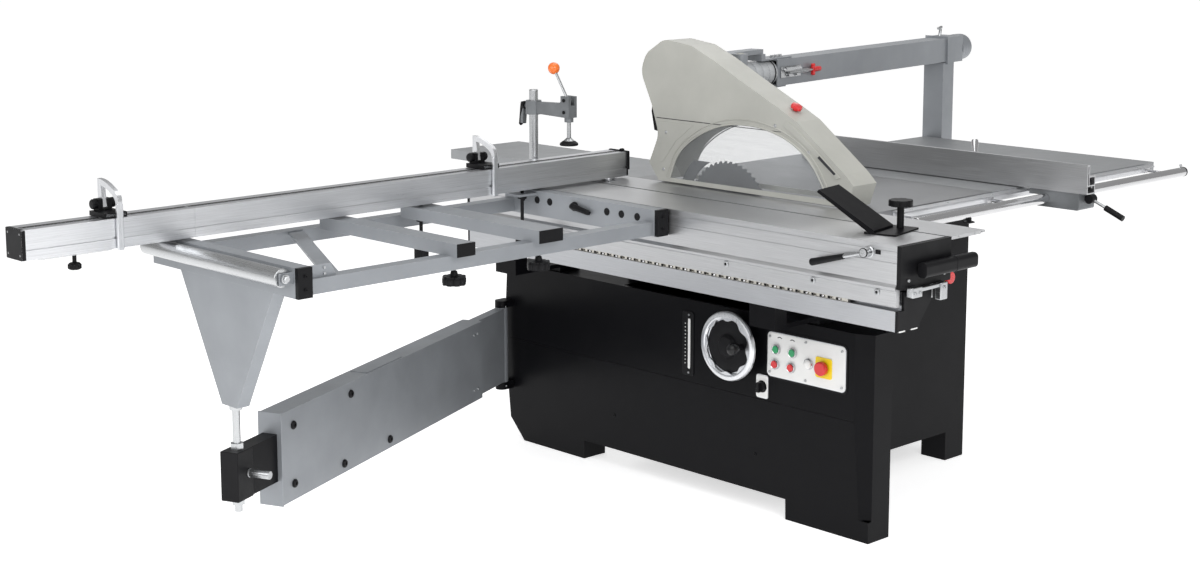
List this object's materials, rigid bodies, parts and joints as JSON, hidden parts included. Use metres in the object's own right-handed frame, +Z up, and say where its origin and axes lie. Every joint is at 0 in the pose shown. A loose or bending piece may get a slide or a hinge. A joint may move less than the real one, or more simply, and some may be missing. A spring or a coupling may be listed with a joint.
{
  "type": "panel saw",
  "caption": "Sliding-table panel saw with an outrigger, crosscut fence, swing arm, overhead blade guard, rip fence and a tilting saw unit in a cabinet.",
  "frame": {"origin": "on the floor under the middle of the whole machine", "axes": "+X right for the operator at the front, +Y away from the operator along the sliding table, +Z up"},
  "size_m": [3.6028, 2.157, 1.2828],
  "materials": {
    "black_paint": "gloss powder coat",
    "blue_paint": "satin powder coat",
    "grey_paint": "satin",
    "grey_rail": "satin",
    "cast_grey": "satin",
    "cast_table": "ground",
    "aluminium": "anodised, brushed along its length",
    "chrome_bar": "polished",
    "zinc_steel": "zinc plated",
    "blade_steel": "ground",
    "brass_cage": "satin",
    "black_plastic": "moulded",
    "beige_plastic": "moulded, light grey-beige",
    "clear_plastic": "clear polycarbonate",
    "red_plastic": "moulded",
    "green_plastic": "moulded",
    "belt_rubber": "matt"
  },
  "bodies": {
    "cabinet": {"cabinet": "black_paint", "main_table": "cast_table", "extension_table": "grey_paint", "outfeed_table": "grey_paint", "base_rail": "grey_rail", "rail_end_caps": "black_plastic", "rail_supports": "cast_grey", "rip_rail": "chrome_bar", "scale_rail": "aluminium", "control_plate": "aluminium", "guard_column": "blue_paint"},
    "cage": {"roller_cage": "brass_cage"},
    "carriage": {"sliding_table": "aluminium", "slide_end_caps": "black_plastic", "edging_shoe": "black_paint", "outrigger_frame": "blue_paint", "support_bars": "blue_paint", "tube_plugs": "black_plastic", "clamp_knobs": "black_plastic", "clamp_post": "chrome_bar"},
    "shoe_screw": {"shoe_knob": "black_plastic"},
    "slide_lock": {"slide_lock_lever": "black_plastic"},
    "end_roller": {"outrigger_roller": "zinc_steel"},
    "crosscut": {"crosscut_fence": "aluminium", "fence_end_stop": "black_plastic"},
    "telescopic_end": {"fence_extension": "aluminium"},
    "left_stop": {"stop_block_left": "black_plastic"},
    "left_flip": {"stop_arm_left": "aluminium"},
    "right_stop": {"stop_block_right": "black_plastic"},
    "right_flip": {"stop_arm_right": "aluminium"},
    "hold_down": {"clamp_arm": "cast_grey"},
    "hold_down_lever": {"clamp_lever": "zinc_steel"},
    "hold_down_pad": {"clamp_spindle": "zinc_steel"},
    "lower_arm": {"swing_arm": "blue_paint"},
    "lower_slide": {"inner_arm": "black_paint", "levelling_rod": "zinc_steel"},
    "rip_carrier": {"fence_carrier": "cast_grey"},
    "rip_profile": {"rip_fence": "aluminium"},
    "rip_lock": {"rip_lever": "black_plastic"},
    "overhead": {"guard_arm": "blue_paint", "dust_duct": "clear_plastic"},
    "hood": {"guard_shell": "beige_plastic", "guard_windows": "clear_plastic"},
    "tilting_unit": {"tilt_frame": "cast_grey"},
    "rising_unit": {"raise_slide": "cast_grey", "motor": "black_paint", "drive_belt": "belt_rubber", "riving_knife": "blade_steel"},
    "saw_arbor": {"arbor": "zinc_steel", "main_blade": "blade_steel"},
    "motor_shaft": {"motor_pulley": "cast_grey"},
    "scoring_arbor": {"scoring_blade": "blade_steel"},
    "raise_wheel": {"handwheel": "chrome_bar"},
    "button_main_on": {"start_main": "green_plastic"},
    "button_score_on": {"start_scoring": "green_plastic"},
    "button_main_off": {"stop_main": "red_plastic"},
    "button_score_off": {"stop_scoring": "red_plastic"},
    "side_stop": {"emergency_stop_side": "red_plastic"},
    "front_stop": {"emergency_stop_front": "red_plastic"},
    "selector": {"switch_knob": "black_plastic"}
  },
  "joints": [
    {"name": "carriage_slide", "type": "slide", "parent": "cabinet", "child": "carriage", "axis": [0, 1, 0], "range_m": [-0.8, 0.74]},
    {"name": "cage_slide", "type": "slide", "parent": "cabinet", "child": "cage", "axis": [0, 1, 0], "range_m": [-0.41, 0.41]},
    {"name": "shoe_screw_turn", "type": "hinge", "parent": "carriage", "child": "shoe_screw", "pos_m": [0.03361, -0.8925, 0.864], "axis": [0, 0, 1], "range_deg": [0, 180]},
    {"name": "slide_lock_turn", "type": "hinge", "parent": "carriage", "child": "slide_lock", "pos_m": [-0.16139, -0.9495, 0.839], "axis": [-1, 0, 0], "range_deg": [-60, 40]},
    {"name": "end_roller_spin", "type": "hinge", "parent": "carriage", "child": "end_roller", "pos_m": [-1.39739, -1.0335, 0.842], "axis": [0, 1, 0], "continuous": true},
    {"name": "crosscut_swing", "type": "hinge", "parent": "carriage", "child": "crosscut", "pos_m": [0.10061, 0.2445, 0.864], "axis": [0, 0, 1], "range_deg": [0, 45]},
    {"name": "fence_extend", "type": "slide", "parent": "crosscut", "child": "telescopic_end", "axis": [-1, 0, 0], "range_m": [0, 0.35]},
    {"name": "left_stop_slide", "type": "slide", "parent": "telescopic_end", "child": "left_stop", "axis": [1, 0, 0], "range_m": [-0.2, 0.16]},
    {"name": "right_stop_slide", "type": "slide", "parent": "crosscut", "child": "right_stop", "axis": [1, 0, 0], "range_m": [-0.5, 0.04]},
    {"name": "left_stop_flip", "type": "hinge", "parent": "left_stop", "child": "left_flip", "pos_m": [-1.55139, 0.2765, 0.9723], "axis": [-1, 0, 0], "range_deg": [0, 75]},
    {"name": "right_stop_flip", "type": "hinge", "parent": "right_stop", "child": "right_flip", "pos_m": [-0.37739, 0.2765, 0.9723], "axis": [-1, 0, 0], "range_deg": [0, 75]},
    {"name": "hold_down_swivel", "type": "hinge", "parent": "carriage", "child": "hold_down", "pos_m": [-0.13139, 0.3115, 0.864], "axis": [0, 0, 1], "range_deg": [-55, 55]},
    {"name": "hold_down_lever_turn", "type": "hinge", "parent": "hold_down", "child": "hold_down_lever", "pos_m": [-0.13139, 0.1655, 1.122], "axis": [1, 0, 0], "range_deg": [-35, 20]},
    {"name": "hold_down_press", "type": "slide", "parent": "hold_down", "child": "hold_down_pad", "axis": [0, 0, -1], "range_m": [-0.014, 0.018]},
    {"name": "lower_arm_swing", "type": "hinge", "parent": "cabinet", "child": "lower_arm", "pos_m": [0.01861, 0.6345, 0.864], "axis": [0, 0, 1], "range_deg": [-40, 40]},
    {"name": "lower_arm_slide", "type": "slide", "parent": "lower_arm", "child": "lower_slide", "axis": [-0.9161, -0.4009, 0], "range_m": [-0.15, 0.15]},
    {"name": "rip_carrier_slide", "type": "slide", "parent": "cabinet", "child": "rip_carrier", "axis": [1, 0, 0], "range_m": [-0.53, 0.64]},
    {"name": "rip_profile_slide", "type": "slide", "parent": "rip_carrier", "child": "rip_profile", "axis": [0, 1, 0], "range_m": [-0.1, 0.3]},
    {"name": "rip_lock_turn", "type": "hinge", "parent": "rip_carrier", "child": "rip_lock", "pos_m": [0.88361, -0.9125, 0.85], "axis": [1, 0, 0], "range_deg": [0, 50]},
    {"name": "overhead_slide", "type": "slide", "parent": "cabinet", "child": "overhead", "axis": [-0.9903, -0.1392, 0], "range_m": [-0.024, 0.024]},
    {"name": "hood_lift", "type": "slide", "parent": "overhead", "child": "hood", "axis": [0, 0, 1], "range_m": [0, 0.11], "deforming": ["dust_duct"]},
    {"name": "blade_tilt", "type": "hinge", "parent": "cabinet", "child": "tilting_unit", "pos_m": [0.20361, -1.0335, 0.864], "axis": [0, 1, 0], "range_deg": [0, 45]},
    {"name": "blade_raise", "type": "slide", "parent": "tilting_unit", "child": "rising_unit", "axis": [0, 0, 1], "range_m": [-0.084, 0]},
    {"name": "arbor_spin", "type": "hinge", "parent": "rising_unit", "child": "saw_arbor", "pos_m": [0.20361, -0.1485, 0.7935], "axis": [1, 0, 0], "continuous": true},
    {"name": "motor_spin", "type": "hinge", "parent": "rising_unit", "child": "motor_shaft", "pos_m": [0.28061, -0.3335, 0.704], "axis": [1, 0, 0], "continuous": true},
    {"name": "scoring_spin", "type": "hinge", "parent": "tilting_unit", "child": "scoring_arbor", "pos_m": [0.20361, -0.3805, 0.806], "axis": [1, 0, 0], "continuous": true},
    {"name": "raise_wheel_turn", "type": "hinge", "parent": "cabinet", "child": "raise_wheel", "pos_m": [0.05061, -0.3335, 0.469], "axis": [1, 0, 0], "range_deg": [-6052, 0]},
    {"name": "start_main_press", "type": "slide", "parent": "cabinet", "child": "button_main_on", "axis": [1, 0, 0], "range_m": [0, 0.003], "stiffness_N_per_m": 300, "springref_m": -0.002},
    {"name": "start_scoring_press", "type": "slide", "parent": "cabinet", "child": "button_score_on", "axis": [1, 0, 0], "range_m": [0, 0.003], "stiffness_N_per_m": 300, "springref_m": -0.002},
    {"name": "stop_main_press", "type": "slide", "parent": "cabinet", "child": "button_main_off", "axis": [1, 0, 0], "range_m": [0, 0.003], "stiffness_N_per_m": 300, "springref_m": -0.002},
    {"name": "stop_scoring_press", "type": "slide", "parent": "cabinet", "child": "button_score_off", "axis": [1, 0, 0], "range_m": [0, 0.003], "stiffness_N_per_m": 300, "springref_m": -0.002},
    {"name": "side_stop_press", "type": "slide", "parent": "cabinet", "child": "side_stop", "axis": [1, 0, 0], "range_m": [0, 0.004], "stiffness_N_per_m": 400, "springref_m": -0.003},
    {"name": "front_stop_press", "type": "slide", "parent": "cabinet", "child": "front_stop", "axis": [0, 1, 0], "range_m": [0, 0.004], "stiffness_N_per_m": 400, "springref_m": -0.003},
    {"name": "selector_turn", "type": "hinge", "parent": "cabinet", "child": "selector", "pos_m": [0.05061, -0.4235, 0.364], "axis": [1, 0, 0], "range_deg": [0, 90]}
  ],
  "couplings": [
    {"joint": "cage_slide", "follows": "carriage_slide", "ratio": 0.5},
    {"joint": "lower_arm_swing", "follows": "carriage_slide", "rad_per_m": -0.588},
    {"joint": "lower_arm_slide", "follows": "carriage_slide", "ratio": -0.125},
    {"joint": "hold_down_press", "follows": "hold_down_lever_turn", "m_per_rad": 0.02},
    {"joint": "motor_spin", "follows": "arbor_spin", "ratio": 1},
    {"joint": "raise_wheel_turn", "follows": "blade_raise", "rad_per_m": 1256.6}
  ]
}
